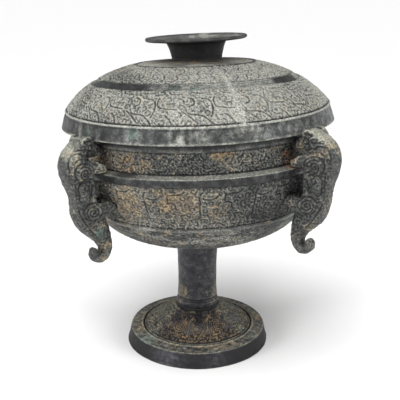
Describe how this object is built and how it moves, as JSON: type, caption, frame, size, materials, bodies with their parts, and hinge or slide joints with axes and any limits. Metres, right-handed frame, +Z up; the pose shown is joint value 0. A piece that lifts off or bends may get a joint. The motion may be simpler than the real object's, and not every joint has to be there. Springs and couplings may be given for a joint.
{
  "type": "covered stem bowl",
  "caption": "Ancient bronze covered dou: round bowl on a slim stem and spreading foot, climbing beast handles, domed lid with a dished crown knob, interlaced serpent bands.",
  "frame": {"origin": "centre of the foot's underside, on the surface it stands on; the bowl leans a little towards -X at the top, so the middle of the outline is about half a millimetre away", "axes": "+Z up the stem, -Y towards the viewer of the picture, +X to that viewer's right; the handles stand between the axes"},
  "size_m": [0.2097, 0.2098, 0.2507],
  "materials": {
    "bronze_body": "dark grey-green patinated cast bronze with dusty earth in the relief",
    "bronze_lid": "cast bronze, pale dusty patina over a dark ground"
  },
  "bodies": {
    "root": {"bowl": "bronze_body", "lid": "bronze_lid"}
  },
  "joints": []
}
